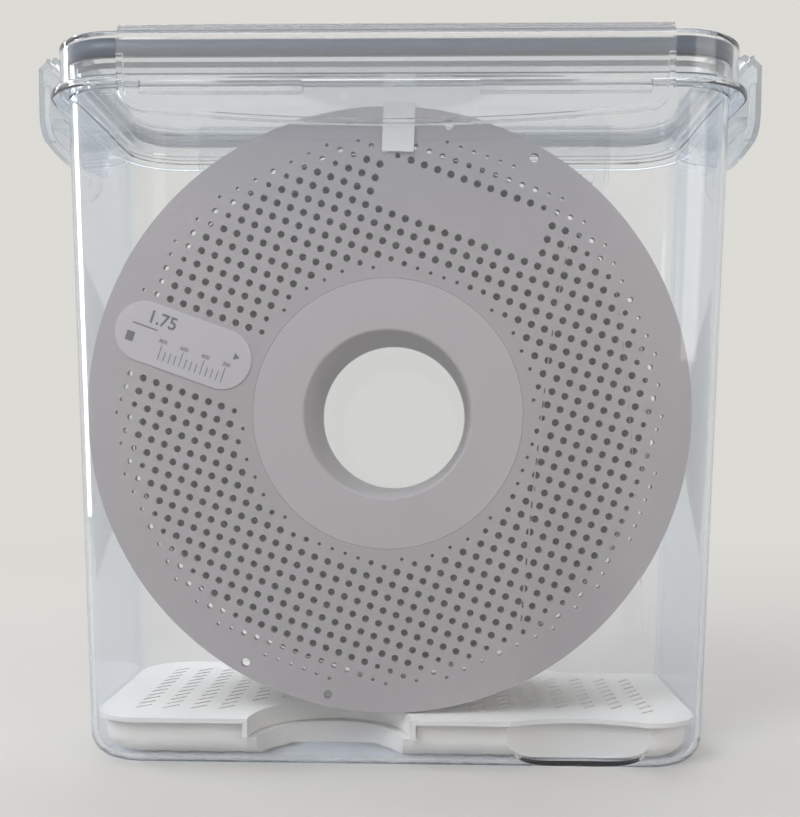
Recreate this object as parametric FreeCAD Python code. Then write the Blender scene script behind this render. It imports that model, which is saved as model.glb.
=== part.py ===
import FreeCAD, Part
import math
import os

Vector = FreeCAD.Vector

# All lengths are millimetres. X runs along the long side, -Y is the front, +Z is up.
# The origin is the middle of the base.

# Clear container
rim_height = 227.2
base_half_length = 104.1
rim_half_length = 108.4
base_half_depth = 47.6
rim_half_depth = 51.9
container_wall = 1.8
container_floor = 2.0
corner_radius = 20.0
base_edge_radius = 9.0
ledge_reach = 5.2
ledge_low = 217.7
ledge_high = 220.2

# Finger grips pressed into the front and back walls
grip_x = 61.0
grip_radius = 45.0
grip_depth = 6.0
grip_top = 180.0

# Lid moulding: offsets are measured outward from the outer wall at the rim
lid_top = 234.8
lid_plate = 2.0
skirt_inner = 1.0
skirt_outer = 2.5
skirt_low = 221.4
plug_outer = -2.6
plug_wall = 1.8
plug_low = 221.8
panel_low = 224.8
panel_thickness = 1.8
gasket_gap = 0.3

# Folding flaps and their hinge webs
hinge_out = 5.5
hinge_height = 233.2
bead_radius = 1.2
web_thickness = 1.0
knuckle_clearance = 0.3
knuckle_thickness = 1.5
knuckle_from = -75.0
knuckle_to = 20.0
flap_out = 11.0
flap_thickness = 1.6
flap_lip = 2.0
flap_lip_width = 1.6
flap_corner = 8.0
long_flap_half = 84.5
short_flap_half = 31.0
flap_end_low = 208.0
long_flap_mid_low = 204.0
short_flap_mid_low = 206.0
catch_low = 213.7
catch_high = 217.0
catch_clearance = 0.5

# Spool
spool_radius = 100.0
spool_width = 67.0
spool_x = -2.5
spool_front = -36.2
flange_thickness = 2.5
hub_edge = 44.7
hub_shoulder = 46.5
hub_shoulder_thickness = 1.5
hub_sleeve_radius = 40.0
hub_wall = 1.8
bore_radius = 27.5
bore_lip = 1.0
pattern_tilt = -19.5
hole_pitch = 4.6
hole_radius = 1.2
anchor_radius = 1.5
anchor_distance = 96.0
label_length = 47.0
label_width = 20.0
label_thickness = 0.4
label_centre = (-67.8, 22.6)
band_length = 49.0
band_width = 11.0
band_centre = (24.0, 65.4)

# Filament on the spool
filament_radius = 0.875
turns = 24
turn_pitch = 2.42
core_radius = 84.4
winding_clearance = 0.3

# Filament clip on the front flange's rim
clip_width = 10.4
clip_thickness = 0.9
clip_front_leg = 14.5
clip_back_leg = 7.5
clip_rim_gap = 0.2
clip_angle = 2.0

# Desiccant tray and its cover
tray_top = 14.6
cover_thickness = 1.6
cover_clearance = 1.0
cover_overhang = 2.5
tray_wall = 1.6
tray_floor = 2.0
locating_lip = 1.4
locating_lip_width = 1.5
locating_gap = 0.3
notch_x = -21.0
notch_radius = 27.0
notch_skirt = 1.6
notch_skirt_low = 9.7
notch_skirt_gap = 0.3
notch_foot_radius = 24.5
back_step_x = 50.0
back_step_run = 14.0
back_step_y = 31.0
slit_length = 7.5
slit_width = 1.0
slit_pitch_x = 9.6
slit_pitch_y = 5.9
bed_clearance = 0.3
bed_depth = 8.5
spool_rest_gap = 0.3

spool_z = tray_top + cover_thickness + spool_rest_gap + spool_radius
skirt_seat = notch_radius + notch_skirt + notch_skirt_gap


def half_length_at(z):
    """Outer half length of the drafted wall at height z."""
    return base_half_length + (rim_half_length - base_half_length) * z / rim_height


def half_depth_at(z):
    """Outer half depth of the drafted wall at height z."""
    return base_half_depth + (rim_half_depth - base_half_depth) * z / rim_height


def rounded_outline(half_x, half_y, radius, z):
    """Closed wire of a rounded rectangle at height z."""
    diagonal = radius * math.cos(math.pi / 4)
    inner_x = half_x - radius
    inner_y = half_y - radius
    edges = []
    for sign_x, sign_y in ((1, 1), (-1, 1), (-1, -1), (1, -1)):
        centre = Vector(sign_x * inner_x, sign_y * inner_y, z)
        along_x = centre + Vector(sign_x * radius, 0, 0)
        along_y = centre + Vector(0, sign_y * radius, 0)
        middle = centre + Vector(sign_x * diagonal, sign_y * diagonal, 0)
        if sign_x * sign_y > 0:
            edges.append(Part.Arc(along_x, middle, along_y).toShape())
        else:
            edges.append(Part.Arc(along_y, middle, along_x).toShape())
    joined = []
    for number, edge in enumerate(edges):
        following = edges[(number + 1) % 4]
        joined.append(edge)
        joined.append(Part.makeLine(edge.Vertexes[-1].Point, following.Vertexes[0].Point))
    return Part.Wire(joined)


def grip_cutter(side, inset):
    """Leaning cylinder that presses one finger grip into a wall form."""
    foot = half_depth_at(0) + grip_radius - grip_depth
    head = half_depth_at(grip_top) + grip_radius
    lean = Vector(0, side * (head - foot), grip_top)
    start = Vector(grip_x, side * foot, 0) - lean * 0.2
    return Part.makeCylinder(grip_radius + inset, lean.Length * 1.5, start, lean)


def wall_form(inset, low, high, edge_radius):
    """Solid that follows the container's outer wall, moved inward by inset."""
    sections = []
    for z in (low, high):
        half_x = half_length_at(z) - inset
        half_y = half_depth_at(z) - inset
        sections.append(rounded_outline(half_x, half_y, corner_radius - inset, z))
    solid = Part.makeLoft(sections, True, True)
    foot_edges = []
    for edge in solid.Edges:
        if edge.BoundBox.ZMax < low + 0.01:
            foot_edges.append(edge)
    solid = solid.makeFillet(edge_radius, foot_edges)
    for side in (-1, 1):
        solid = solid.cut(grip_cutter(side, inset))
    return solid


def rim_prism(offset, low, high):
    """Upright prism of the rim outline grown by offset."""
    outline = rounded_outline(rim_half_length + offset, rim_half_depth + offset, corner_radius + offset, low)
    return Part.Face(outline).extrude(Vector(0, 0, high - low))


def rim_ring(inner, outer, low, high):
    """Upright ring between two offsets of the rim outline."""
    return rim_prism(outer, low, high).cut(rim_prism(inner, low, high))


def slab(low, high):
    """Wide block between two heights, used to trim wall forms."""
    return Part.makeBox(400, 300, high - low, Vector(-200, -150, low))


def fused(shapes):
    """One clean solid from several overlapping ones."""
    return shapes[0].multiFuse(shapes[1:]).removeSplitter()


def container():
    """Drafted clear shell with two finger grips and a latch ledge round its rim."""
    outer = wall_form(0.0, 0.0, rim_height, base_edge_radius)
    cavity = wall_form(container_wall, container_floor, rim_height + 5, base_edge_radius - container_wall)
    ledge = rim_prism(ledge_reach, ledge_low, ledge_high)
    ledge = ledge.makeFillet(0.8, vertical_free_edges(ledge))
    return outer.fuse(ledge).cut(cavity).removeSplitter()


def vertical_free_edges(prism):
    """Edges round the top and bottom faces of an upright prism."""
    found = []
    for edge in prism.Edges:
        if edge.BoundBox.ZLength < 0.01:
            found.append(edge)
    return found


def lid():
    """Lid moulding: top rim, skirt, plug wall and sunken panel."""
    plug_inner = plug_outer - plug_wall
    under = lid_top - lid_plate
    rim = rim_prism(skirt_outer, under, lid_top)
    upper_edges = []
    for edge in rim.Edges:
        if edge.BoundBox.ZMin > lid_top - 0.01:
            upper_edges.append(edge)
    rim = rim.makeFillet(0.8, upper_edges)
    rim = rim.cut(rim_prism(plug_inner, under - 1, lid_top + 1))
    skirt = rim_ring(skirt_inner, skirt_outer, skirt_low, under)
    plug = rim_ring(plug_inner, plug_outer, plug_low, under)
    panel = rim_prism(plug_inner, panel_low, panel_low + panel_thickness)
    return fused([rim, skirt, plug, panel])


def gasket():
    """Soft seal that hangs in the lid's groove just over the container's rim."""
    low = rim_height + gasket_gap
    ring = rim_ring(plug_outer + gasket_gap, skirt_inner - gasket_gap, low, lid_top - lid_plate)
    lower_edges = []
    for edge in ring.Edges:
        if edge.BoundBox.ZMax < low + 0.01:
            lower_edges.append(edge)
    return ring.makeFillet(0.6, lower_edges)


def turned(shape, quarter_turns):
    """Shape built at the front, turned about Z to another side."""
    copy = shape.copy()
    copy.rotate(Vector(0, 0, 0), Vector(0, 0, 1), 90 * quarter_turns)
    return copy


def side_section(points, wall_half, half_length):
    """Bar along X whose section is given as (outward offset, height) corners."""
    corners = []
    for out, z in points:
        corners.append(Vector(-half_length, -(wall_half + out), z))
    corners.append(corners[0])
    return Part.Face(Part.makePolygon(corners)).extrude(Vector(2 * half_length, 0, 0))


def hinge_web(wall_half, half_length):
    """Thin hinge strip with a round bead on the hinge axis, at the front."""
    low = hinge_height - web_thickness / 2
    high = hinge_height + web_thickness / 2
    section = ((skirt_outer, low), (skirt_outer, high), (hinge_out, high), (hinge_out, low))
    strip = side_section(section, wall_half, half_length)
    start = Vector(-half_length, -(wall_half + hinge_out), hinge_height)
    bead = Part.makeCylinder(bead_radius, 2 * half_length, start, Vector(1, 0, 0))
    return fused([strip, bead])


def flap_outline(half_length, mid_low, top):
    """Front-view face of a flap in the XZ plane: round lower corners, bowed lower edge."""
    diagonal = flap_corner * (1 - math.cos(math.pi / 4))
    side_end = flap_end_low + flap_corner
    foot = half_length - flap_corner
    left_top = Vector(-half_length, 0, top)
    left_low = Vector(-half_length, 0, side_end)
    left_mid = Vector(-half_length + diagonal, 0, flap_end_low + diagonal)
    left_foot = Vector(-foot, 0, flap_end_low)
    right_foot = Vector(foot, 0, flap_end_low)
    right_mid = Vector(half_length - diagonal, 0, flap_end_low + diagonal)
    right_low = Vector(half_length, 0, side_end)
    right_top = Vector(half_length, 0, top)
    edges = [
        Part.makeLine(left_top, left_low),
        Part.Arc(left_low, left_mid, left_foot).toShape(),
        Part.Arc(left_foot, Vector(0, 0, mid_low), right_foot).toShape(),
        Part.Arc(right_foot, right_mid, right_low).toShape(),
        Part.makeLine(right_low, right_top),
        Part.makeLine(right_top, left_top),
    ]
    return Part.Face(Part.Wire(edges))


def knuckle(wall_half, half_length):
    """Open round channel of a flap that wraps the hinge bead."""
    inner = bead_radius + knuckle_clearance
    outer = inner + knuckle_thickness
    x = -half_length

    def at(radius, degrees):
        angle = math.radians(degrees)
        out = hinge_out + radius * math.cos(angle)
        return Vector(x, -(wall_half + out), hinge_height + radius * math.sin(angle))

    middle = (knuckle_from + knuckle_to) / 2
    edges = [
        Part.Arc(at(inner, knuckle_from), at(inner, middle), at(inner, knuckle_to)).toShape(),
        Part.makeLine(at(inner, knuckle_to), at(outer, knuckle_to)),
        Part.Arc(at(outer, knuckle_to), at(outer, middle), at(outer, knuckle_from)).toShape(),
        Part.makeLine(at(outer, knuckle_from), at(inner, knuckle_from)),
    ]
    return Part.Face(Part.Wire(edges)).extrude(Vector(2 * half_length, 0, 0))


def flap(wall_half, half_length, mid_low, catches):
    """One folding flap at the front: knuckle, shoulder, plate, turned lip and catch ribs."""
    inner_face = flap_out - flap_thickness
    plate_top = hinge_height - 3.0
    face = flap_outline(half_length, mid_low, plate_top)
    plate = face.copy()
    plate.translate(Vector(0, -(wall_half + flap_out), 0))
    plate = plate.extrude(Vector(0, flap_thickness, 0))
    lip = face.copy()
    lip.translate(Vector(0, -(wall_half + inner_face), 0))
    lip = lip.extrude(Vector(0, flap_lip, 0))
    hollow = face.makeOffset2D(-flap_lip_width)
    hollow.translate(Vector(0, -(wall_half + inner_face + 1), 0))
    hollow = hollow.extrude(Vector(0, flap_lip + 3, 0))
    open_top = Part.makeBox(400, 40, 40, Vector(-200, -(wall_half + 20), plate_top - 5.0))
    lip = lip.cut(hollow).cut(open_top)
    shoulder_points = (
        (hinge_out + 1.9, hinge_height - 1.6),
        (hinge_out + 2.7, hinge_height + 0.2),
        (flap_out, hinge_height - 2.4),
        (flap_out, hinge_height - 5.0),
        (inner_face, hinge_height - 5.0),
        (inner_face, hinge_height - 3.4),
    )
    shoulder = side_section(shoulder_points, wall_half, half_length)
    pieces = [plate, lip, shoulder, knuckle(wall_half, half_length)]
    tip = ledge_reach + catch_clearance
    for start, end in catches:
        corner = Vector(start, -(wall_half + inner_face + 0.2), catch_low)
        pieces.append(Part.makeBox(end - start, inner_face + 0.2 - tip, catch_high - catch_low, corner))
    return fused(pieces)


def tilted(along, across):
    """Point of the tilted hole pattern as (x, z) from the spool's centre."""
    angle = math.radians(pattern_tilt)
    x = along * math.cos(angle) - across * math.sin(angle)
    z = along * math.sin(angle) + across * math.cos(angle)
    return x, z


def untilted(x, z):
    """Distances along and across the tilted pattern of a point (x, z)."""
    angle = math.radians(pattern_tilt)
    along = x * math.cos(angle) + z * math.sin(angle)
    across = -x * math.sin(angle) + z * math.cos(angle)
    return along, across


def in_pad(x, z, centre, length, width):
    """True where (x, z) is on a plain pad of the pattern, with a margin."""
    along, across = untilted(x - centre[0], z - centre[1])
    return abs(along) < length / 2 + 1.6 and abs(across) < width / 2 + 1.6


def pattern_radius(distance):
    """Hole radius at a distance from the centre; 0 where there is no hole."""
    if distance < hub_shoulder + 1.2 or distance > 91:
        return 0.0
    if distance < 49.5 or distance > 88:
        return hole_radius * 0.5
    if distance < 51.5 or distance > 83.5:
        return hole_radius * 0.75
    return hole_radius


def circle(x, y, z, radius):
    """Wire of a circle square to Y."""
    return Part.Wire([Part.Circle(Vector(x, y, z), Vector(0, 1, 0), radius).toShape()])


def flange(front, mirrored):
    """Perforated spool flange whose lower-Y face is at front."""
    sign = -1 if mirrored else 1
    outer = circle(spool_x, front, spool_z, spool_radius)
    inner = circle(spool_x, front, spool_z, hub_edge + 0.1)
    wires = [outer, inner]
    steps = int(spool_radius / hole_pitch)
    for row in range(-steps, steps + 1):
        for column in range(-steps, steps + 1):
            x, z = tilted((column + 0.5) * hole_pitch, (row + 0.5) * hole_pitch)
            radius = pattern_radius(math.hypot(x, z))
            plain = in_pad(x, z, label_centre, label_length, label_width)
            plain = plain or in_pad(x, z, band_centre, band_length, band_width)
            if radius > 0 and not plain:
                wires.append(circle(spool_x + sign * x, front, spool_z + z, radius))
    for degrees in (60.4, 78.2, 240.4, 258.2):
        x = anchor_distance * math.cos(math.radians(degrees))
        z = anchor_distance * math.sin(math.radians(degrees))
        wires.append(circle(spool_x + sign * x, front, spool_z + z, anchor_radius))
    face = Part.makeFace(wires, "Part::FaceMakerCheese")
    return face.extrude(Vector(0, flange_thickness, 0))


def drum(outer, inner, start, length):
    """Ring about the spool's axis from start, length long towards +Y."""
    base = Vector(spool_x, start, spool_z)
    ring = Part.makeCylinder(outer, length, base, Vector(0, 1, 0))
    return ring.cut(Part.makeCylinder(inner, length, base, Vector(0, 1, 0)))


def hub_front():
    """Front hub half: end disc, shoulder behind the flange, sleeve and bore tube."""
    half = spool_width / 2
    disc = drum(hub_edge, bore_radius, spool_front, flange_thickness)
    shoulder_start = spool_front + flange_thickness
    shoulder = drum(hub_shoulder, bore_radius, shoulder_start, hub_shoulder_thickness)
    sleeve = drum(hub_sleeve_radius, hub_sleeve_radius - hub_wall, spool_front, half)
    tube = drum(bore_radius + hub_wall, bore_radius, spool_front, half)
    half_hub = fused([disc, shoulder, sleeve, tube])
    mouth = []
    for edge in half_hub.Edges:
        at_face = edge.BoundBox.YMax < spool_front + 0.01
        if at_face and edge.BoundBox.ZLength < 2 * bore_radius + 1:
            mouth.append(edge)
    return half_hub.makeFillet(bore_lip, mouth)


def mirrored_half(shape):
    """Copy of a spool half mirrored to the far side of the spool."""
    middle = Vector(spool_x, spool_front + spool_width / 2, spool_z)
    return shape.mirror(middle, Vector(0, 1, 0))


def label():
    """Thin stadium-shaped sticker on the front flange."""
    radius = label_width / 2
    straight = label_length / 2 - radius
    y = spool_front - label_thickness

    def at(along, across):
        x, z = tilted(along, across)
        return Vector(spool_x + label_centre[0] + x, y, spool_z + label_centre[1] + z)

    edges = [
        Part.makeLine(at(-straight, -radius), at(straight, -radius)),
        Part.Arc(at(straight, -radius), at(straight + radius, 0), at(straight, radius)).toShape(),
        Part.makeLine(at(straight, radius), at(-straight, radius)),
        Part.Arc(at(-straight, radius), at(-straight - radius, 0), at(-straight, -radius)).toShape(),
    ]
    return Part.Face(Part.Wire(edges)).extrude(Vector(0, label_thickness, 0))


def winding_point(turn):
    """Point of the winding's centre line after a number of turns."""
    radius = core_radius + winding_clearance + filament_radius
    angle = 2 * math.pi * turn
    middle = spool_front + spool_width / 2
    y = middle + (turn - turns / 2) * turn_pitch
    return Vector(spool_x + radius * math.sin(angle), y, spool_z - radius * math.cos(angle))


def winding():
    """Outer layer of filament as one unbroken tube with straight ends."""
    edges = []
    for half in range(2 * turns):
        start = winding_point(half / 2)
        middle = winding_point(half / 2 + 0.25)
        end = winding_point(half / 2 + 0.5)
        edges.append(Part.Arc(start, middle, end).toShape())
    first = edges[0]
    last = edges[-1]
    lead = first.tangentAt(first.FirstParameter).normalize()
    trail = last.tangentAt(last.LastParameter).normalize()
    start = winding_point(0) - lead * (2 * filament_radius)
    end = winding_point(turns) + trail * (2 * filament_radius)
    edges.insert(0, Part.makeLine(start, winding_point(0)))
    edges.append(Part.makeLine(winding_point(turns), end))
    section = Part.Wire([Part.Circle(start, lead, filament_radius).toShape()])
    return Part.Wire(edges).makePipeShell([section], True, False)


def least_winding_gap():
    """Smallest clear distance between neighbouring turns, measured on points."""
    steps = 48
    least = turn_pitch
    for index in range(steps):
        here = winding_point(index / steps)
        for other in range(-6, 7):
            there = winding_point(1 + (index + other) / steps)
            least = min(least, here.distanceToPoint(there))
    return least - 2 * filament_radius


def filament_core():
    """Plain body of the wound filament under its outer layer, wider outside the hub's shoulders."""
    margin = flange_thickness + hub_shoulder_thickness + winding_clearance
    start = spool_front + margin
    middle = drum(core_radius, hub_sleeve_radius + winding_clearance, start, spool_width - 2 * margin)
    margin = flange_thickness + winding_clearance
    start = spool_front + margin
    wide = drum(core_radius, hub_shoulder + winding_clearance, start, spool_width - 2 * margin)
    return fused([middle, wide])


def clip():
    """Small printed clip that straddles the front flange's rim."""
    half = clip_width / 2
    inner = spool_front + flange_thickness
    top = spool_z + spool_radius + clip_rim_gap + clip_thickness
    front_low = spool_z + spool_radius - clip_front_leg
    back_low = spool_z + spool_radius - clip_back_leg
    front_start = Vector(spool_x - half, spool_front - clip_thickness, front_low)
    front_leg = Part.makeBox(clip_width, clip_thickness, top - front_low, front_start)
    back_start = Vector(spool_x - half, inner, back_low)
    back_leg = Part.makeBox(clip_width, clip_thickness, top - back_low, back_start)
    depth = flange_thickness + 2 * clip_thickness
    bridge_start = Vector(spool_x - half, spool_front - clip_thickness, top - clip_thickness)
    bridge = Part.makeBox(clip_width, depth, clip_thickness, bridge_start)
    shape = fused([front_leg, back_leg, bridge])
    shape.rotate(Vector(spool_x, 0, spool_z), Vector(0, 1, 0), clip_angle)
    return shape


def notch_post(radius, low):
    """Upright cylinder on the axis of the finger notch, from height low."""
    front = -(half_depth_at(tray_top) - container_wall - cover_clearance)
    return Part.makeCylinder(radius, 80, Vector(notch_x, front, low))


def tray_form(extra, low, high, notch):
    """Block that fits the container's inside with a clearance, cut to the tray's plan and a notch radius."""
    inset = container_wall + cover_clearance + extra
    form = wall_form(inset, container_floor, 60.0, base_edge_radius - container_wall)
    form = form.common(slab(low, high))
    step_y = back_step_y - extra
    step_x = back_step_x - extra
    corners = [
        Vector(step_x, 80, -10),
        Vector(step_x, half_depth_at(tray_top) - 4 - extra, -10),
        Vector(step_x + back_step_run, step_y, -10),
        Vector(150, step_y, -10),
        Vector(150, 80, -10),
    ]
    corners.append(corners[0])
    step = Part.Face(Part.makePolygon(corners)).extrude(Vector(0, 0, 90))
    return form.cut(notch_post(notch, -10)).cut(step)


def tray():
    """Open tray that stands on the container's floor and holds the desiccant."""
    outside = tray_form(cover_overhang, container_floor, tray_top, notch_foot_radius)
    outside = outside.cut(notch_post(skirt_seat, notch_skirt_low - notch_skirt_gap))
    low = container_floor + tray_floor
    inside = tray_form(cover_overhang + tray_wall, low, tray_top + 5, skirt_seat + tray_wall)
    return outside.cut(inside)


def slit(x, y):
    """Diagonal slot cutter through the cover."""
    low = tray_top - locating_lip - 1
    length = slit_length - slit_width
    box = Part.makeBox(length, slit_width, 5, Vector(x - length / 2, y - slit_width / 2, low))
    box.rotate(Vector(x, y, 0), Vector(0, 0, 1), 45)
    return box


def slit_allowed(x, y):
    """True where a slit keeps clear of the cover's edges, notch and grips."""
    if abs(x) > 88 or y < -34 or y > 34:
        return False
    if x > back_step_x - 8 and y > back_step_y - 12:
        return False
    if abs(x - grip_x) < 24 and y < -28:
        return False
    return math.hypot(x - notch_x, y + half_depth_at(tray_top)) > notch_radius + 11


def tray_cover():
    """Slitted lid of the tray with a locating lip underneath and a skirt in the finger notch."""
    plate = tray_form(0.0, tray_top, tray_top + cover_thickness, notch_radius)
    lip_outside = cover_overhang + tray_wall + locating_gap
    lip_low = tray_top - locating_lip
    lip_notch = skirt_seat + tray_wall + locating_gap
    lip = tray_form(lip_outside, lip_low, tray_top, lip_notch)
    lip_inside = lip_outside + locating_lip_width
    lip = lip.cut(tray_form(lip_inside, lip_low, tray_top, lip_notch + locating_lip_width))
    skirt = tray_form(0.0, notch_skirt_low, tray_top, notch_radius)
    skirt = skirt.common(notch_post(notch_radius + notch_skirt, 0))
    cutters = []
    for column in range(-10, 11):
        for row in range(-7, 8):
            x = column * slit_pitch_x
            y = row * slit_pitch_y
            if slit_allowed(x, y):
                cutters.append(slit(x, y))
    return plate.multiFuse([lip, skirt]).cut(Part.makeCompound(cutters))


def desiccant():
    """Bed of desiccant that lies on the tray's floor."""
    extra = cover_overhang + tray_wall + bed_clearance
    low = container_floor + tray_floor
    return tray_form(extra, low, low + bed_depth, skirt_seat + tray_wall + bed_clearance)


def largest_solid(shape):
    """The single solid of a shape made by cuts."""
    return max(shape.Solids, key=lambda solid: solid.Volume)


long_catches = ((-78.0, -28.0), (26.0, 78.0))
short_catches = ((-22.0, 22.0),)
long_flap = flap(rim_half_depth, long_flap_half, long_flap_mid_low, long_catches)
short_flap = flap(rim_half_length, short_flap_half, short_flap_mid_low, short_catches)
long_web = hinge_web(rim_half_depth, long_flap_half)
short_web = hinge_web(rim_half_length, short_flap_half)
front_hub = hub_front()

nodes = {
    "container_body": container(),
    "lid_shell": lid(),
    "lid_gasket": gasket(),
    "front_hinge_web": long_web,
    "right_hinge_web": turned(short_web, 1),
    "back_hinge_web": turned(long_web, 2),
    "left_hinge_web": turned(short_web, 3),
    "front_flap": long_flap,
    "right_flap": turned(short_flap, 1),
    "back_flap": turned(long_flap, 2),
    "left_flap": turned(short_flap, 3),
    "spool_front_flange": flange(spool_front, False),
    "spool_rear_flange": flange(spool_front + spool_width - flange_thickness, True),
    "spool_hub_front": front_hub,
    "spool_hub_rear": mirrored_half(front_hub),
    "filament_core": filament_core(),
    "filament_winding": winding(),
    "filament_clip": clip(),
    "spool_label": label(),
    "desiccant_tray": tray(),
    "tray_cover": tray_cover(),
    "desiccant_bed": desiccant(),
}

os.makedirs("parts", exist_ok=True)
for name, shape in nodes.items():
    solid = largest_solid(shape)
    box = solid.BoundBox
    sizes = "%.1f x %.1f x %.1f" % (box.XLength, box.YLength, box.ZLength)
    print(name, len(shape.Solids), "solid", solid.isValid(), sizes, "low z %.2f" % box.ZMin)
    solid.exportStep("parts/" + name + ".step")
print("least gap between filament turns %.3f mm" % least_winding_gap())
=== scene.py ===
"""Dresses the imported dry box: clear shell and lid, soft seal, spool with filament, desiccant tray."""

from __future__ import annotations

import logging
import math
import random
from collections.abc import Iterable, Iterator, Sequence
from dataclasses import dataclass, field
from enum import Enum
from typing import ClassVar

import bmesh
import bpy
from mathutils import Matrix, Vector
from mathutils.bvhtree import BVHTree

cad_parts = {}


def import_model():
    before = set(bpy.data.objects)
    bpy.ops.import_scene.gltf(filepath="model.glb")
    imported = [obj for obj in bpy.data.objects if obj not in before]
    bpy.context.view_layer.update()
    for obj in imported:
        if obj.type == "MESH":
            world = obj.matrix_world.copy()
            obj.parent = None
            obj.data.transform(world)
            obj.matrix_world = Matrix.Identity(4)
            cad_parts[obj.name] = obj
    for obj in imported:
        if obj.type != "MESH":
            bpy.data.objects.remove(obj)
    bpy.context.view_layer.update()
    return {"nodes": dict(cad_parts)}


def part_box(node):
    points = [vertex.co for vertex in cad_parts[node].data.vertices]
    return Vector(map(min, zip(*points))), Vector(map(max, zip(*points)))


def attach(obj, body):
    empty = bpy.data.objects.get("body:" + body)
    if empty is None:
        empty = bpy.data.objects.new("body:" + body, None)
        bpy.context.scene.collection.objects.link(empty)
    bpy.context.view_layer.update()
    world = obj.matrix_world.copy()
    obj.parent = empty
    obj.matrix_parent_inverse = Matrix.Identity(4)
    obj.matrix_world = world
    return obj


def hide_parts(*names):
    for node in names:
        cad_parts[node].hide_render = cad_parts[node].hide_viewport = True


LOG = logging.getLogger("dry_box")
MM = 0.001
FULL_TURN = 2.0 * math.pi

Colour = tuple[float, float, float]
Point2 = tuple[float, float]
Point3 = tuple[float, float, float]


class Body(str, Enum):
    """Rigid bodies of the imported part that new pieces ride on."""

    CONTAINER = "container"
    LID = "lid"
    SPOOL = "spool"


class Slot(str, Enum):
    """Material slots of the record."""

    SEAL = "seal"
    LABEL = "label"
    FILAMENT = "filament"
    DESICCANT = "desiccant"


class GroupName(str, Enum):
    """Shared shader effects."""

    MOTTLE = "surface_mottle"
    GRAIN = "moulded_grain"
    LAYERS = "print_layers"


def feed(
    tree: bpy.types.NodeTree, socket: bpy.types.NodeSocket, value: bpy.types.NodeSocket | float
) -> None:
    """Links an input to another socket, or sets it to a plain number.

    Args:
        tree: Node tree that holds both.
        socket: Input to feed.
        value: Output that feeds it, or the number.
    """
    if isinstance(value, (int, float)):
        socket.default_value = value
    else:
        tree.links.new(value, socket)


def add_math(
    tree: bpy.types.NodeTree, operation: str, *values: bpy.types.NodeSocket | float
) -> bpy.types.NodeSocket:
    """Adds a math node.

    Args:
        tree: Node tree that takes it.
        operation: Name of the operation.
        values: Sockets or plain numbers for its inputs, in order.

    Returns:
        Its output.
    """
    node = tree.nodes.new("ShaderNodeMath")
    node.operation = operation
    for index, value in enumerate(values):
        feed(tree, node.inputs[index], value)
    return node.outputs[0]


def add_noise(
    tree: bpy.types.NodeTree, scale: bpy.types.NodeSocket | float, detail: float
) -> bpy.types.NodeSocket:
    """Adds noise over the object's own coordinates.

    Args:
        tree: Node tree that takes it.
        scale: Socket or plain number for its scale.
        detail: Number of finer octaves.

    Returns:
        Socket from 0 to 1.
    """
    coords = tree.nodes.new("ShaderNodeTexCoord")
    noise = tree.nodes.new("ShaderNodeTexNoise")
    noise.inputs["Detail"].default_value = detail
    tree.links.new(coords.outputs["Object"], noise.inputs["Vector"])
    feed(tree, noise.inputs["Scale"], scale)
    return noise.outputs["Fac"]


def mix_to_surface(
    tree: bpy.types.NodeTree, share: bpy.types.NodeSocket, first: bpy.types.Node, second: bpy.types.Node
) -> None:
    """Sends a mix of two shaders to the material's surface.

    Args:
        tree: Node tree of the material.
        share: Socket with the share of the second shader.
        first: Shader where the share is 0.
        second: Shader where the share is 1.
    """
    mixer = tree.nodes.new("ShaderNodeMixShader")
    tree.links.new(share, mixer.inputs[0])
    tree.links.new(first.outputs[0], mixer.inputs[1])
    tree.links.new(second.outputs[0], mixer.inputs[2])
    tree.links.new(mixer.outputs[0], tree.nodes["Material Output"].inputs["Surface"])


def mix_colours(
    tree: bpy.types.NodeTree, share: bpy.types.NodeSocket, first: Colour, second: Colour
) -> bpy.types.NodeSocket:
    """Mixes two plain colours.

    Args:
        tree: Node tree that takes the mix.
        share: Socket with the share of the second colour.
        first: Colour where the share is 0.
        second: Colour where the share is 1.

    Returns:
        Socket with the mixed colour.
    """
    mix = tree.nodes.new("ShaderNodeMix")
    mix.data_type = "RGBA"
    mix.inputs["A"].default_value = (*first, 1.0)
    mix.inputs["B"].default_value = (*second, 1.0)
    tree.links.new(share, mix.inputs["Factor"])
    return mix.outputs["Result"]


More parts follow.
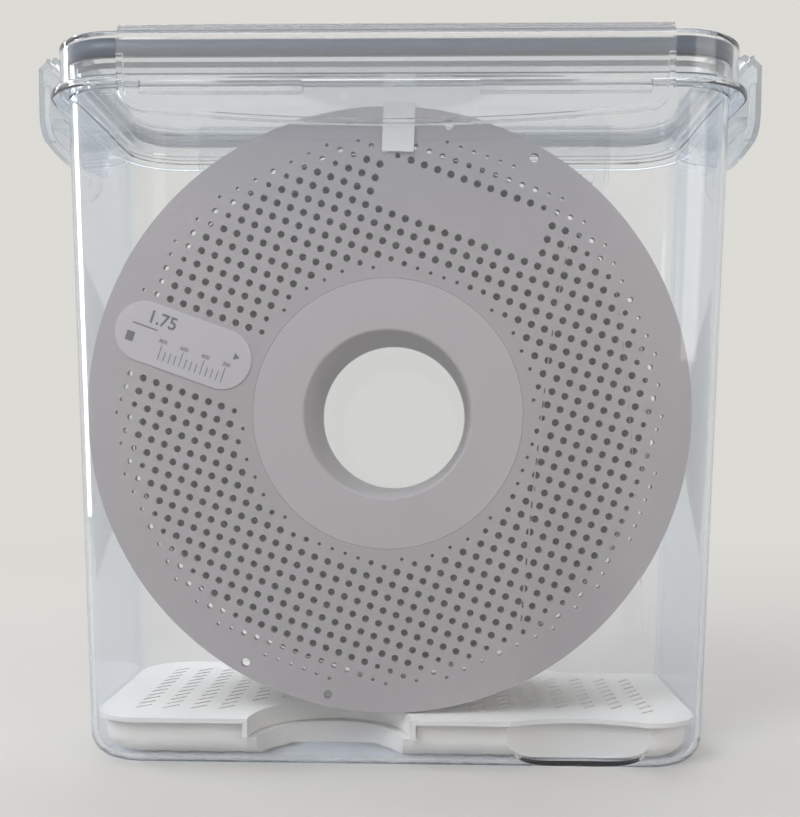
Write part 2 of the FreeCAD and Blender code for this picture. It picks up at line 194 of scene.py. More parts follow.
class ShaderGroups:
    """Builds each shared shader effect once and places it in materials."""

    MOTTLE_DETAIL: ClassVar[float] = 4.0
    GRAIN_DETAIL: ClassVar[float] = 3.0
    WANDER_DETAIL: ClassVar[float] = 2.0
    WANDER_SCALE: ClassVar[float] = 180.0

    def __init__(self) -> None:
        """Starts with no group built."""
        self._built: dict[GroupName, bpy.types.NodeTree] = {}

    def place(self, tree: bpy.types.NodeTree, name: GroupName, values: dict[str, object]) -> bpy.types.Node:
        """Places a group in a material with its own values.

        Args:
            tree: Node tree of the material.
            name: Which shared effect.
            values: Input names and their values.

        Returns:
            The group node.
        """
        if name not in self._built:
            makers = {
                GroupName.MOTTLE: self._mottle,
                GroupName.GRAIN: self._grain,
                GroupName.LAYERS: self._layers,
            }
            self._built[name] = makers[name]()
        node = tree.nodes.new("ShaderNodeGroup")
        node.node_tree = self._built[name]
        for key, value in values.items():
            node.inputs[key].default_value = value
        return node

    @staticmethod
    def _start(
        name: GroupName, floats: dict[str, float], outputs: dict[str, str], colour: bool = False
    ) -> tuple[bpy.types.NodeTree, bpy.types.Node, bpy.types.Node]:
        """Makes an empty group with named sockets.

        Args:
            name: Name of the group.
            floats: Float inputs with their defaults.
            outputs: Output names and socket types.
            colour: True to add an input named Colour.

        Returns:
            The tree, its input node and its output node.
        """
        tree = bpy.data.node_groups.new(name.value, "ShaderNodeTree")
        if colour:
            tree.interface.new_socket("Colour", in_out="INPUT", socket_type="NodeSocketColor")
        for key, value in floats.items():
            socket = tree.interface.new_socket(key, in_out="INPUT", socket_type="NodeSocketFloat")
            socket.default_value = value
        for key, kind in outputs.items():
            tree.interface.new_socket(key, in_out="OUTPUT", socket_type=kind)
        start = tree.nodes.new("NodeGroupInput")
        end = tree.nodes.new("NodeGroupOutput")
        return tree, start, end

    def _mottle(self) -> bpy.types.NodeTree:
        """Faint uneven colour and roughness of moulded plastic.

        Returns:
            Group with Colour, Scale, Amount and Roughness in; Colour and Roughness out.
        """
        floats = {"Scale": 60.0, "Amount": 0.06, "Roughness": 0.5}
        outputs = {"Colour": "NodeSocketColor", "Roughness": "NodeSocketFloat"}
        tree, start, end = self._start(GroupName.MOTTLE, floats, outputs, True)
        noise = add_noise(tree, start.outputs["Scale"], self.MOTTLE_DETAIL)
        centred = add_math(tree, "SUBTRACT", noise, 0.5)
        swing = add_math(tree, "MULTIPLY", centred, start.outputs["Amount"])
        value = add_math(tree, "ADD", swing, 1.0)
        tint = tree.nodes.new("ShaderNodeHueSaturation")
        tree.links.new(start.outputs["Colour"], tint.inputs["Color"])
        tree.links.new(value, tint.inputs["Value"])
        tree.links.new(tint.outputs["Color"], end.inputs["Colour"])
        rough = add_math(tree, "ADD", start.outputs["Roughness"], swing)
        tree.links.new(rough, end.inputs["Roughness"])
        return tree

    def _grain(self) -> bpy.types.NodeTree:
        """Fine spark-eroded grain of a mould.

        Returns:
            Group with Scale in and Height out.
        """
        outputs = {"Height": "NodeSocketFloat"}
        tree, start, end = self._start(GroupName.GRAIN, {"Scale": 900.0}, outputs)
        noise = add_noise(tree, start.outputs["Scale"], self.GRAIN_DETAIL)
        tree.links.new(noise, end.inputs["Height"])
        return tree

    def _layers(self) -> bpy.types.NodeTree:
        """Stacked layer lines of a print.

        Returns:
            Group with Pitch in metres and Wander in; Height out.
        """
        floats = {"Pitch": 0.0002, "Wander": 0.05}
        tree, start, end = self._start(GroupName.LAYERS, floats, {"Height": "NodeSocketFloat"})
        coords = tree.nodes.new("ShaderNodeTexCoord")
        split = tree.nodes.new("ShaderNodeSeparateXYZ")
        tree.links.new(coords.outputs["Object"], split.inputs[0])
        layer = add_math(tree, "DIVIDE", split.outputs["Z"], start.outputs["Pitch"])
        noise = add_noise(tree, self.WANDER_SCALE, self.WANDER_DETAIL)
        wander = add_math(tree, "MULTIPLY_ADD", noise, start.outputs["Wander"], layer)
        angle = add_math(tree, "MULTIPLY", wander, FULL_TURN)
        wave = add_math(tree, "SINE", angle)
        tree.links.new(wave, end.inputs["Height"])
        return tree


def new_material(name: str) -> tuple[bpy.types.Material, bpy.types.NodeTree, bpy.types.Node]:
    """Makes a node material.

    Args:
        name: Name of the material.

    Returns:
        The material, its node tree and its Principled node.
    """
    material = bpy.data.materials.new(name)
    material.use_nodes = True
    tree = material.node_tree
    return material, tree, tree.nodes["Principled BSDF"]


def add_bump(
    tree: bpy.types.NodeTree, shader: bpy.types.Node, height: bpy.types.NodeSocket, depth: float
) -> None:
    """Feeds a height into the shader's normal.

    Args:
        tree: Node tree of the material.
        shader: Principled node.
        height: Socket that gives the height.
        depth: Depth of the relief in metres.
    """
    bump = tree.nodes.new("ShaderNodeBump")
    bump.inputs["Distance"].default_value = depth
    tree.links.new(height, bump.inputs["Height"])
    tree.links.new(bump.outputs["Normal"], shader.inputs["Normal"])


@dataclass(frozen=True)
class SolidFinish:
    """Opaque plastic, rubber or print with faint mottle and a relief."""

    name: str
    colour: Colour
    roughness: float
    mottle_scale: float = 60.0
    mottle: float = 0.06
    grain_scale: float = 900.0
    relief: float = 0.00004
    layer_pitch: float = 0.0
    coat: float = 0.0

    def build(self, groups: ShaderGroups) -> bpy.types.Material:
        """Makes the material.

        Args:
            groups: Shared shader effects.

        Returns:
            The material.
        """
        material, tree, shader = new_material(self.name)
        values = {
            "Colour": (*self.colour, 1.0),
            "Scale": self.mottle_scale,
            "Amount": self.mottle,
            "Roughness": self.roughness,
        }
        mottle = groups.place(tree, GroupName.MOTTLE, values)
        tree.links.new(mottle.outputs["Colour"], shader.inputs["Base Color"])
        tree.links.new(mottle.outputs["Roughness"], shader.inputs["Roughness"])
        shader.inputs["Coat Weight"].default_value = self.coat
        if self.layer_pitch > 0:
            relief = groups.place(tree, GroupName.LAYERS, {"Pitch": self.layer_pitch})
        else:
            relief = groups.place(tree, GroupName.GRAIN, {"Scale": self.grain_scale})
        add_bump(tree, shader, relief.outputs["Height"], self.relief)
        return material


@dataclass(frozen=True)
class GlassFinish:
    """Clear moulded plastic that bends what is behind it, with a tint that deepens at a slant."""

    name: str
    face_tint: Colour
    edge_tint: Colour
    roughness: float
    clarity: float
    slant_blend: float = 0.5
    falloff: float = 2.5
    refraction: float = 1.42
    lamp_tint: Colour = (0.93, 0.95, 0.97)
    mottle_scale: float = 30.0
    mottle: float = 0.05
    grain_scale: float = 40.0
    relief: float = 0.000006

    def build(self, groups: ShaderGroups) -> bpy.types.Material:
        """Makes the material.

        Args:
            groups: Shared shader effects.

        Returns:
            The material.
        """
        material, tree, shader = new_material(self.name)
        shader.inputs["Transmission Weight"].default_value = self.clarity
        shader.inputs["IOR"].default_value = self.refraction
        slant = tree.nodes.new("ShaderNodeLayerWeight")
        slant.inputs["Blend"].default_value = self.slant_blend
        share = add_math(tree, "POWER", slant.outputs["Facing"], self.falloff)
        tint = mix_colours(tree, share, self.face_tint, self.edge_tint)
        tree.links.new(tint, shader.inputs["Base Color"])
        values = {"Scale": self.mottle_scale, "Amount": self.mottle, "Roughness": self.roughness}
        mottle = groups.place(tree, GroupName.MOTTLE, values)
        tree.links.new(mottle.outputs["Roughness"], shader.inputs["Roughness"])
        grain = groups.place(tree, GroupName.GRAIN, {"Scale": self.grain_scale})
        add_bump(tree, shader, grain.outputs["Height"], self.relief)
        self._pass_lamps(tree, shader)
        return material

    def _pass_lamps(self, tree: bpy.types.NodeTree, shader: bpy.types.Node) -> None:
        """Lets lamp light through to what stands inside.

        Args:
            tree: Node tree of the material.
            shader: Principled node.
        """
        rays = tree.nodes.new("ShaderNodeLightPath")
        clear = tree.nodes.new("ShaderNodeBsdfTransparent")
        clear.inputs["Color"].default_value = (*self.lamp_tint, 1.0)
        mix_to_surface(tree, rays.outputs["Is Shadow Ray"], shader, clear)


SHELL_FINISH = GlassFinish("clear_shell", (0.955, 0.965, 0.98), (0.48, 0.64, 0.86), 0.03, 0.965)
LID_FINISH = GlassFinish("clear_lid", (0.95, 0.96, 0.97), (0.60, 0.72, 0.86), 0.04, 0.965)
FLAP_FINISH = GlassFinish("milky_flap", (0.94, 0.95, 0.96), (0.70, 0.78, 0.86), 0.08, 0.95)
SIDE_FLAP_FINISH = GlassFinish("milky_side_flap", (0.94, 0.955, 0.97), (0.76, 0.83, 0.91), 0.12, 0.80)
SEAL_FINISH = SolidFinish("silicone_seal", (0.024, 0.046, 0.082), 0.45, relief=0.00001)
FLANGE_FINISH = SolidFinish("flange_grey", (0.318, 0.292, 0.302), 0.62, 25.0, 0.05, 1400.0, 0.00003)
HUB_FINISH = SolidFinish("hub_grey", (0.375, 0.348, 0.357), 0.58, 25.0, 0.05, 1400.0, 0.00003)
LABEL_FINISH = SolidFinish("label_film", (0.42, 0.395, 0.41), 0.35, 40.0, 0.03, 500.0, 0.00001)
INK_FINISH = SolidFinish("label_ink", (0.075, 0.08, 0.105), 0.5, 200.0, 0.1, 900.0, 0.00001)
FILAMENT_FINISH = SolidFinish("filament_dark", (0.045, 0.048, 0.055), 0.38, 500.0, 0.25, 1500.0, 0.00002)
PRINT_FINISH = SolidFinish(
    "printed_white", (0.80, 0.78, 0.76), 0.6, 90.0, 0.05, relief=0.00003, layer_pitch=0.0002
)
BEAD_FINISH = SolidFinish("desiccant_bead", (0.78, 0.79, 0.81), 0.25, 300.0, 0.1, 700.0, 0.00003, coat=0.3)


def mesh_object(
    name: str, build: bmesh.types.BMesh, finish: bpy.types.Material, smooth: bool
) -> bpy.types.Object:
    """Turns a bmesh into a linked object.

    Args:
        name: Name of the piece.
        build: The mesh; it is freed.
        finish: Material of the piece.
        smooth: True to shade it smooth.

    Returns:
        The new object.
    """
    bmesh.ops.recalc_face_normals(build, faces=build.faces)
    mesh = bpy.data.meshes.new(name)
    build.to_mesh(mesh)
    build.free()
    for polygon in mesh.polygons:
        polygon.use_smooth = smooth
    mesh.materials.append(finish)
    piece = bpy.data.objects.new(name, mesh)
    bpy.context.scene.collection.objects.link(piece)
    return piece


def bridge_rings(build: bmesh.types.BMesh, rings: list[list[bmesh.types.BMVert]], closed: bool) -> None:
    """Joins neighbouring closed rings of vertices with quads.

    Args:
        build: Mesh that the rings are in.
        rings: Rings with the same number of vertices.
        closed: True to join the last ring to the first.
    """
    count = len(rings) if closed else len(rings) - 1
    for index in range(count):
        here = rings[index]
        there = rings[(index + 1) % len(rings)]
        for step in range(len(here)):
            following = (step + 1) % len(here)
            build.faces.new((here[step], here[following], there[following], there[step]))


def turned_frame(right: Vector, up: Vector) -> Matrix:
    """Rotation whose X and Y axes are two given directions.

    Args:
        right: Direction of X, of length 1.
        up: Direction of Y, of length 1.

    Returns:
        The rotation as a 4 x 4 matrix.
    """
    return Matrix((right, up, right.cross(up))).transposed().to_4x4()


def dress(node: bpy.types.Object, finish: bpy.types.Material) -> None:
    """Gives a carried-over solid its finish.

    Args:
        node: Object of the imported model.
        finish: Its material.
    """
    node.data.materials.clear()
    node.data.materials.append(finish)


@dataclass
class SealRing:
    """Soft seal in the lid's groove: a ring with two rounded ribs under it, in millimetres."""

    low: float
    rim_half_length: float = 108.4
    rim_half_depth: float = 51.9
    corner_radius: float = 20.0
    corner_steps: int = 14
    section: tuple[Point2, ...] = (
        (-2.3, 5.3), (-2.3, 1.9), (-2.15, 0.9), (-1.85, 0.25), (-1.5, 0.02), (-1.15, 0.25),
        (-0.95, 0.8), (-0.8, 1.05), (-0.65, 0.8), (-0.45, 0.25), (-0.1, 0.02), (0.25, 0.25),
        (0.55, 0.9), (0.7, 1.9), (0.7, 5.3),
    )

    def outline(self, offset: float) -> list[Point2]:
        """Points round the rim outline grown by an offset.

        Args:
            offset: Outward offset in millimetres.

        Returns:
            Points in millimetres.
        """
        points = []
        corners = ((1, 1, 0), (-1, 1, 90), (-1, -1, 180), (1, -1, 270))
        radius = self.corner_radius + offset
        for sign_x, sign_y, start in corners:
            centre_x = sign_x * (self.rim_half_length - self.corner_radius)
            centre_y = sign_y * (self.rim_half_depth - self.corner_radius)
            for step in range(self.corner_steps + 1):
                angle = math.radians(start + 90 * step / self.corner_steps)
                points.append((centre_x + radius * math.cos(angle), centre_y + radius * math.sin(angle)))
        return points

    def build(self, finish: bpy.types.Material) -> bpy.types.Object:
        """Makes the seal and puts it in place of the plain one.

        Args:
            finish: Material of the seal.

        Returns:
            The seal.
        """
        build = bmesh.new()
        rings = []
        for offset, height in self.section:
            z = (self.low + height) * MM
            ring = [build.verts.new((x * MM, y * MM, z)) for x, y in self.outline(offset)]
            rings.append(ring)
        bridge_rings(build, rings, True)
        seal = mesh_object("seal_ring", build, finish, True)
        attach(seal, Body.LID.value)
        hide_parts("lid_gasket")
        return seal


@dataclass
class WoundFilament:
    """Filament on the spool: stacked layers seen at the sides and a tight outer layer, in millimetres."""

    axis: Point2
    middle_y: float = -2.7
    core_inner: float = 40.4
    core_outer: float = 84.4
    half_width: float = 30.7
    shoulder_radius: float = 46.9
    shoulder_half_width: float = 29.2
    groove: float = 0.75
    layer_parts: int = 4
    wire_radius: float = 0.875
    wire_lift: float = 0.3
    turns: int = 34
    pitch: float = 1.765
    turn_steps: int = 80
    wire_sides: int = 8
    lathe_steps: int = 120

    def _at(self, radius: float, angle: float, y: float) -> Vector:
        """Point about the spool's axis.

        Args:
            radius: Distance from the axis.
            angle: Angle from straight down, radians.
            y: Distance behind the middle of the spool.

        Returns:
            The point in metres.
        """
        x = self.axis[0] + radius * math.sin(angle)
        z = self.axis[1] - radius * math.cos(angle)
        return Vector((x, self.middle_y + y, z)) * MM

    def layer_profile(self) -> list[Point2]:
        """Section of the stacked layers as (radius, y) from inside to outside and back.

        Returns:
            Points in millimetres.
        """
        count = int((self.core_outer - self.core_inner) / (2 * self.wire_radius))
        step = (self.core_outer - self.core_inner) / count
        side = []
        for layer in range(count):
            for part in range(self.layer_parts):
                along = part / self.layer_parts
                bulge = math.sin(math.pi * along)
                radius = self.core_inner + (layer + along) * step
                width = self.half_width if radius > self.shoulder_radius else self.shoulder_half_width
                side.append((radius, width - self.groove * (1.0 - bulge)))
        side.append((self.core_outer, self.half_width - self.groove))
        front = [(radius, -y) for radius, y in side]
        return front + list(reversed(side))

    def build_layers(self, finish: bpy.types.Material) -> bpy.types.Object:
        """Makes the body of stacked layers.

        Args:
            finish: Material of the filament.

        Returns:
            The piece.
        """
        build = bmesh.new()
        rings = []
        for radius, y in self.layer_profile():
            ring = []
            for step in range(self.lathe_steps):
                angle = FULL_TURN * step / self.lathe_steps
                ring.append(build.verts.new(self._at(radius, angle, y)))
            rings.append(ring)
        bridge_rings(build, rings, True)
        layers = mesh_object("filament_layers", build, finish, True)
        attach(layers, Body.SPOOL.value)
        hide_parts("filament_core")
        return layers

    def build_outer(self, finish: bpy.types.Material) -> bpy.types.Object:
        """Makes the outer layer as one unbroken strand.

        Args:
            finish: Material of the filament.

        Returns:
            The piece.
        """
        build = bmesh.new()
        radius = self.core_outer + self.wire_lift + self.wire_radius
        total = self.turns * self.turn_steps
        rings = []
        for index in range(total + 1):
            angle = FULL_TURN * index / self.turn_steps
            middle = (index / self.turn_steps - self.turns / 2) * self.pitch
            ring = []
            for side in range(self.wire_sides):
                turn = FULL_TURN * side / self.wire_sides
                out = radius + self.wire_radius * math.cos(turn)
                y = middle + self.wire_radius * math.sin(turn)
                ring.append(build.verts.new(self._at(out, angle, y)))
            rings.append(ring)
        bridge_rings(build, rings, False)
        build.faces.new(rings[0])
        build.faces.new(list(reversed(rings[-1])))
        outer = mesh_object("filament_outer_layer", build, finish, True)
        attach(outer, Body.SPOOL.value)
        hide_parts("filament_winding")
        return outer


@dataclass
class LabelPrint:
    """Plain marks on the spool's sticker in millimetres: a number, a scale, a square and a pointer."""

    spool_centre: Point2
    label_centre: Point2 = (-67.8, 22.6)
    tilt: float = -19.5
    face_y: float = -36.6
    ink: float = 0.03
    ticks: int = 13
    tick_start: float = -6.5
    tick_pitch: float = 1.85
    tick_foot: float = -7.4
    tick_half_width: float = 0.14
    long_tick: float = 5.0
    short_tick: float = 3.2
    long_every: int = 4
    square: tuple[Point2, Point2] = ((-19.0, -4.6), (-16.3, -1.4))
    underline: tuple[Point2, Point2] = ((-18.2, 1.4), (-9.4, 1.85))
    pointer: tuple[Point2, ...] = ((17.2, 1.0), (19.2, 2.2), (17.2, 3.4))
    diameter_words: str = "1.75"
    diameter_place: Point2 = (-9.0, 3.4)
    diameter_height: float = 4.2
    scale_words: tuple[str, ...] = ("800", "600", "400", "200")
    scale_lift: float = 5.6
    scale_height: float = 1.3
    font_size: float = 1.4
    font_weight: float = 0.028
    parts: list[bpy.types.Object] = field(default_factory=list)

    def _at(self, along: float, across: float, lift: float) -> Vector:
        """Point on the label.

        Args:
            along: Distance along the label from its middle.
            across: Distance across it from its middle.
            lift: Height off its face.

        Returns:
            The point in metres.
        """
        angle = math.radians(self.tilt)
        x = self.spool_centre[0] + self.label_centre[0] + along * math.cos(angle) - across * math.sin(angle)
        z = self.spool_centre[1] + self.label_centre[1] + along * math.sin(angle) + across * math.cos(angle)
        return Vector((x, self.face_y - lift, z)) * MM

    def _shape(self, build: bmesh.types.BMesh, points: Sequence[Point2]) -> None:
        """Adds one thin inked shape.

        Args:
            build: Mesh that takes it.
            points: Corners on the label in millimetres.
        """
        top = [build.verts.new(self._at(along, across, self.ink)) for along, across in points]
        low = [build.verts.new(self._at(along, across, 0.0)) for along, across in points]
        build.faces.new(top)
        build.faces.new(list(reversed(low)))
        for index in range(len(top)):
            following = (index + 1) % len(top)
            build.faces.new((top[index], low[index], low[following], top[following]))

    def _bar(self, build: bmesh.types.BMesh, low: Point2, high: Point2) -> None:
        """Adds an inked rectangle between two corners."""
        self._shape(build, [low, (high[0], low[1]), high, (low[0], high[1])])

    def build_marks(self, finish: bpy.types.Material) -> bpy.types.Object:
        """Makes the ticks, the square, the underline and the pointer.

        Args:
            finish: Ink material.

        Returns:
            The piece.
        """
        build = bmesh.new()
        half = self.tick_half_width
        for tick in range(self.ticks):
            along = self.tick_start + tick * self.tick_pitch
            height = self.long_tick if tick % self.long_every == 0 else self.short_tick
            self._bar(build, (along - half, self.tick_foot), (along + half, self.tick_foot + height))
        self._bar(build, *self.square)
        self._bar(build, *self.underline)
        self._shape(build, self.pointer)
        marks = mesh_object("label_marks", build, finish, False)
        self._settle(marks)
        return marks

    def build_number(
        self, name: str, words: str, place: Point2, height: float, finish: bpy.types.Material
    ) -> bpy.types.Object:
        """Makes one plain number.

        Args:
            name: Name of the piece.
            words: Digits to show.
            place: Middle of the number along the label and its foot across it.
            height: Height of the digits in millimetres.
            finish: Ink material.

        Returns:
            The piece.
        """
        curve = bpy.data.curves.new(name, "FONT")
        curve.body = words
        curve.align_x = "CENTER"
        curve.size = height * self.font_size * MM
        curve.extrude = self.ink * 0.5 * MM
        curve.offset = height * self.font_weight * MM
        text = bpy.data.objects.new(name + "_text", curve)
        bpy.context.scene.collection.objects.link(text)
        bpy.context.view_layer.update()
        mesh = bpy.data.meshes.new_from_object(text.evaluated_get(bpy.context.evaluated_depsgraph_get()))
        bpy.data.objects.remove(text)
        along, across = place
        foot = self._at(along, across, 0.0)
        right = (self._at(along + 1.0, across, 0.0) - foot).normalized()
        up = (self._at(along, across + 1.0, 0.0) - foot).normalized()
        origin = self._at(along, across, self.ink * 0.5)
        mesh.transform(Matrix.Translation(origin) @ turned_frame(right, up))
        mesh.materials.clear()
        mesh.materials.append(finish)
        number = bpy.data.objects.new(name, mesh)
        bpy.context.scene.collection.objects.link(number)
        self._settle(number)
        return number

    def _settle(self, piece: bpy.types.Object) -> None:
        """Lets a printed piece ride on the spool.

        Args:
            piece: The printed piece.
        """
        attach(piece, Body.SPOOL.value)
        self.parts.append(piece)

    def build(self, finish: bpy.types.Material) -> list[bpy.types.Object]:
        """Makes every printed mark.

        Args:
            finish: Ink material.

        Returns:
            The printed pieces.
        """
        self.build_marks(finish)
        self.build_number(
            "label_diameter", self.diameter_words, self.diameter_place, self.diameter_height, finish
        )
        for index, words in enumerate(self.scale_words):
            along = self.tick_start + self.long_every * index * self.tick_pitch
            place = (along, self.tick_foot + self.scale_lift)
            self.build_number("label_scale_" + words, words, place, self.scale_height, finish)
        return self.parts


@dataclass
class BeadBed:
    """Loose desiccant beads that fill the tray, in millimetres."""

    bead_radius: float = 1.9
    spacing: float = 3.86
    layers: tuple[float, ...] = (7.45, 10.55)
    jitter: float = 0.04
    overlap: float = 0.05
    seed: int = 7
    sizes: tuple[float, float] = (0.9, 1.0)

    def spots(self, low: Vector, high: Vector) -> Iterator[Point3]:
        """Middles of beads in staggered rows, layer by layer.

        Args:
            low: Lowest corner of the bed, metres.
            high: Highest corner of the bed, metres.

        Yields:
            Middles in millimetres.
        """
        row_pitch = self.spacing * math.sqrt(3) / 2
        for number, height in enumerate(self.layers):
            y = low.y / MM + self.bead_radius
            row = number
            while y < high.y / MM - self.bead_radius:
                x = low.x / MM + self.bead_radius + (row % 2) * self.spacing / 2
                while x < high.x / MM - self.bead_radius:
                    yield x, y, height
                    x += self.spacing
                y += row_pitch
                row += 1

    def build(self, node: bpy.types.Object, finish: bpy.types.Material) -> bpy.types.Object:
        """Makes the beads inside the plain bed's outline.

        Args:
            node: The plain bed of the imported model.
            finish: Material of the beads.

        Returns:
            The piece.
        """
        corners = [vertex.co.copy() for vertex in node.data.vertices]
        faces = [list(polygon.vertices) for polygon in node.data.polygons]
        bed = BVHTree.FromPolygons(corners, faces)
        low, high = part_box("desiccant_bed")
        draw = random.Random(self.seed)
        build = bmesh.new()
        for spot in self.spots(low, high):
            if self._fits(bed, spot):
                self._bead(build, draw, spot)
        beads = mesh_object("desiccant_beads", build, finish, True)
        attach(beads, Body.CONTAINER.value)
        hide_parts("desiccant_bed")
        return beads

    def _fits(self, bed: BVHTree, spot: Point3) -> bool:
        """True where a bead of full size lies inside the plain bed.

        Args:
            bed: Search tree of the bed's faces.
            spot: Middle of the bead, millimetres.

        Returns:
            Whether the bead fits.
        """
        middle = Vector(spot) * MM
        above = bed.ray_cast(middle, Vector((0, 0, 1)))
        below = bed.ray_cast(middle, Vector((0, 0, -1)))
        if above[0] is None or below[0] is None:
            return False
        return bed.find_nearest(middle)[3] > (self.bead_radius - self.overlap) * MM

    def _bead(self, build: bmesh.types.BMesh, draw: random.Random, spot: Point3) -> None:
        """Adds one bead with a little disorder.

        Args:
            build: Mesh that takes it.
            draw: Seeded source of the disorder.
            spot: Middle of the bead, millimetres.
        """
        scale = draw.uniform(*self.sizes)
        shift = [draw.uniform(-self.jitter, self.jitter) for _ in range(3)]
        x, y, z = spot
        place = Matrix.Translation(Vector((x + shift[0], y + shift[1], z - abs(shift[2]))) * MM)
        radius = self.bead_radius * scale * MM
        bmesh.ops.create_icosphere(build, subdivisions=1, radius=radius, matrix=place)


@dataclass(frozen=True)
class Lamp:
    """One soft area lamp, in metres and watts."""

    name: str
    place: Point3
    size: Point2
    power: float
    colour: Colour = (1.0, 1.0, 1.0)

    def build(self, aim: Point3) -> bpy.types.Object:
        """Makes the lamp.

        Args:
            aim: Point that it faces, metres.

        Returns:
            The lamp.
        """
        data = bpy.data.lights.new(self.name, "AREA")
        data.shape = "RECTANGLE"
        data.size = self.size[0]
        data.size_y = self.size[1]
        data.energy = self.power
        data.color = self.colour
        light = bpy.data.objects.new(self.name, data)
        direction = Vector(aim) - Vector(self.place)
        light.rotation_euler = direction.to_track_quat("-Z", "Y").to_euler()
        light.location = self.place
        bpy.context.scene.collection.objects.link(light)
        return light


@dataclass
class Studio:
    """Camera, floor, world and soft lamps."""

    camera_place: Point3 = (11.32, -398.14, 109.12)
    camera_right: Point3 = (0.99963, 0.02668, 0.00499)
    camera_up: Point3 = (-0.00653, 0.05773, 0.99831)
    focal_pixels: float = 1090.0
    image_height: float = 817.0
    axis_row: float = 500.0
    sensor: float = 36.0
    near_clip: float = 0.01
    floor_size: float = 4.0
    floor_drop: float = 0.0002
    floor_roughness: float = 0.7
    floor_colour: Colour = (0.70, 0.69, 0.67)
    world_colour: Colour = (0.48, 0.475, 0.465)
    wall_colour: Colour = (0.72, 0.705, 0.665)
    fade_from: float = 0.2
    fade_to: float = 0.9
    lamp_aim: Point3 = (0.0, 0.0, 0.11)
    lamps: tuple[Lamp, ...] = (
        Lamp("key", (-0.7, -0.8, 1.0), (0.6, 0.6), 7.5),
        Lamp("fill", (0.95, -0.7, 0.5), (0.7, 0.7), 2.9, (1.0, 0.94, 0.88)),
        Lamp("back", (0.1, 0.9, 0.9), (1.0, 0.6), 3.5),
        Lamp("strip", (-0.85, 0.32, 0.3), (0.12, 0.9), 2.2),
    )

    def build_camera(self) -> bpy.types.Object:
        """Makes the camera at the photograph's place.

        Returns:
            The camera.
        """
        data = bpy.data.cameras.new("view")
        data.sensor_width = self.sensor
        data.lens = self.focal_pixels / self.image_height * self.sensor
        data.shift_y = (self.axis_row - self.image_height / 2) / self.image_height
        data.clip_start = self.near_clip
        camera = bpy.data.objects.new("view", data)
        right = Vector(self.camera_right).normalized()
        up = Vector(self.camera_up).normalized()
        place = Matrix.Translation(Vector(self.camera_place) * MM)
        camera.matrix_world = place @ turned_frame(right, up)
        bpy.context.scene.collection.objects.link(camera)
        bpy.context.scene.camera = camera
        return camera

    @staticmethod
    def seen_rays(tree: bpy.types.NodeTree) -> bpy.types.NodeSocket:
        """Marks the rays that see the surround, straight on, in gloss or through clear plastic.

        Args:
            tree: Node tree of the world or of the floor.

        Returns:
            Socket that is 1 for those rays.
        """
        rays = tree.nodes.new("ShaderNodeLightPath")
        seen = rays.outputs["Is Camera Ray"]
        for ray in ("Is Glossy Ray", "Is Transmission Ray"):
            seen = add_math(tree, "MAXIMUM", seen, rays.outputs[ray])
        return seen

    def fade_floor(self, tree: bpy.types.NodeTree, shader: bpy.types.Node) -> None:
        """Fades the floor into the wall's colour away from the part.

        Args:
            tree: Node tree of the floor.
            shader: Its Principled node.
        """
        place = tree.nodes.new("ShaderNodeTexCoord")
        away = tree.nodes.new("ShaderNodeVectorMath")
        away.operation = "LENGTH"
        tree.links.new(place.outputs["Object"], away.inputs[0])
        fade = tree.nodes.new("ShaderNodeMapRange")
        fade.interpolation_type = "SMOOTHSTEP"
        fade.inputs["From Min"].default_value = self.fade_from
        fade.inputs["From Max"].default_value = self.fade_to
        tree.links.new(away.outputs["Value"], fade.inputs["Value"])
        share = add_math(tree, "MULTIPLY", fade.outputs["Result"], self.seen_rays(tree))
        glow = tree.nodes.new("ShaderNodeEmission")
        glow.inputs["Color"].default_value = (*self.wall_colour, 1.0)
        mix_to_surface(tree, share, shader, glow)

    def build_floor(self) -> bpy.types.Object:
        """Makes the pale floor.

        Returns:
            The floor.
        """
        material, tree, shader = new_material("studio_floor")
        shader.inputs["Base Color"].default_value = (*self.floor_colour, 1.0)
        shader.inputs["Roughness"].default_value = self.floor_roughness
        self.fade_floor(tree, shader)
        build = bmesh.new()
        half = self.floor_size / 2
        corners = ((-half, -half), (half, -half), (half, half), (-half, half))
        build.faces.new([build.verts.new((x, y, -self.floor_drop)) for x, y in corners])
        floor = mesh_object("floor", build, material, False)
        return floor

    def build_world(self) -> None:
        """Sets a soft even surround that shows as a pale wall."""
        world = bpy.data.worlds.new("surround")
        bpy.context.scene.world = world
        world.use_nodes = True
        tree = world.node_tree
        colour = mix_colours(tree, self.seen_rays(tree), self.world_colour, self.wall_colour)
        tree.links.new(colour, tree.nodes["Background"].inputs["Color"])

    def build(self) -> None:
        """Makes the whole studio."""
        self.build_camera()
        self.build_floor()
        self.build_world()
        for lamp in self.lamps:
            lamp.build(self.lamp_aim)


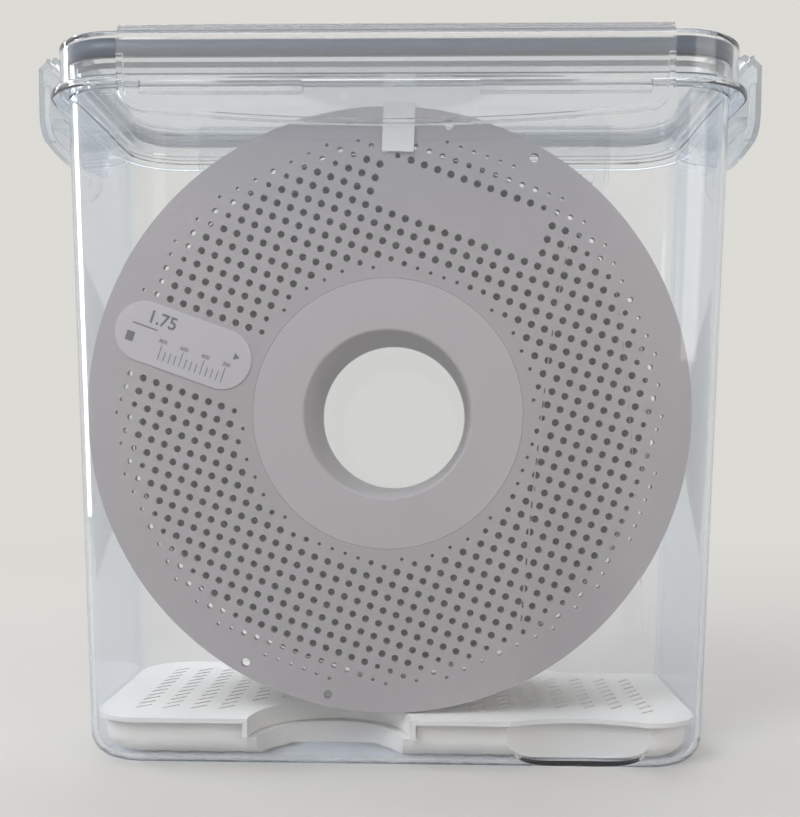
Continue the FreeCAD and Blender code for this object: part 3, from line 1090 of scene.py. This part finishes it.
class DryBox:
    """The whole part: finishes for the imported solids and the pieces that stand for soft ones."""

    NODE_FINISHES: ClassVar[dict[str, SolidFinish | GlassFinish]] = {
        "container_body": SHELL_FINISH,
        "lid_shell": LID_FINISH,
        "front_hinge_web": FLAP_FINISH,
        "right_hinge_web": SIDE_FLAP_FINISH,
        "back_hinge_web": FLAP_FINISH,
        "left_hinge_web": SIDE_FLAP_FINISH,
        "front_flap": FLAP_FINISH,
        "right_flap": SIDE_FLAP_FINISH,
        "back_flap": FLAP_FINISH,
        "left_flap": SIDE_FLAP_FINISH,
        "spool_front_flange": FLANGE_FINISH,
        "spool_rear_flange": FLANGE_FINISH,
        "spool_hub_front": HUB_FINISH,
        "spool_hub_rear": HUB_FINISH,
        "spool_label": LABEL_FINISH,
        "filament_clip": PRINT_FINISH,
        "desiccant_tray": PRINT_FINISH,
        "tray_cover": PRINT_FINISH,
    }

    def __init__(self, nodes: dict[str, bpy.types.Object]) -> None:
        """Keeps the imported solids.

        Args:
            nodes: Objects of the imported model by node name.
        """
        self.nodes = nodes
        self.groups = ShaderGroups()
        self._materials: dict[str, bpy.types.Material] = {}

    def material(self, finish: SolidFinish | GlassFinish) -> bpy.types.Material:
        """Material of a finish, made once.

        Args:
            finish: The finish.

        Returns:
            Its material.
        """
        if finish.name not in self._materials:
            self._materials[finish.name] = finish.build(self.groups)
        return self._materials[finish.name]

    def build(self) -> None:
        """Dresses the solids and builds the other pieces."""
        for name, finish in self.NODE_FINISHES.items():
            dress(self.nodes[name], self.material(finish))
            LOG.info("dressed %s", name)
        low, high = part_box("spool_front_flange")
        axis = ((low[0] + high[0]) / 2 / MM, (low[2] + high[2]) / 2 / MM)
        filament = WoundFilament(axis)
        pieces = [
            SealRing(low=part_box("lid_gasket")[0][2] / MM).build(self.material(SEAL_FINISH)),
            filament.build_layers(self.material(FILAMENT_FINISH)),
            filament.build_outer(self.material(FILAMENT_FINISH)),
            BeadBed().build(self.nodes["desiccant_bed"], self.material(BEAD_FINISH)),
        ]
        pieces += LabelPrint(axis).build(self.material(INK_FINISH))
        for piece in pieces:
            LOG.info("built %s", piece.name)


def main() -> None:
    """Loads the frame, dresses it and sets the studio."""
    logging.basicConfig(level=logging.INFO, format="%(name)s: %(message)s")
    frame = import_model()
    scene = bpy.context.scene
    scene.view_settings.view_transform = "Standard"
    DryBox(frame["nodes"]).build()
    Studio().build()


if __name__ == "__main__":
    main()
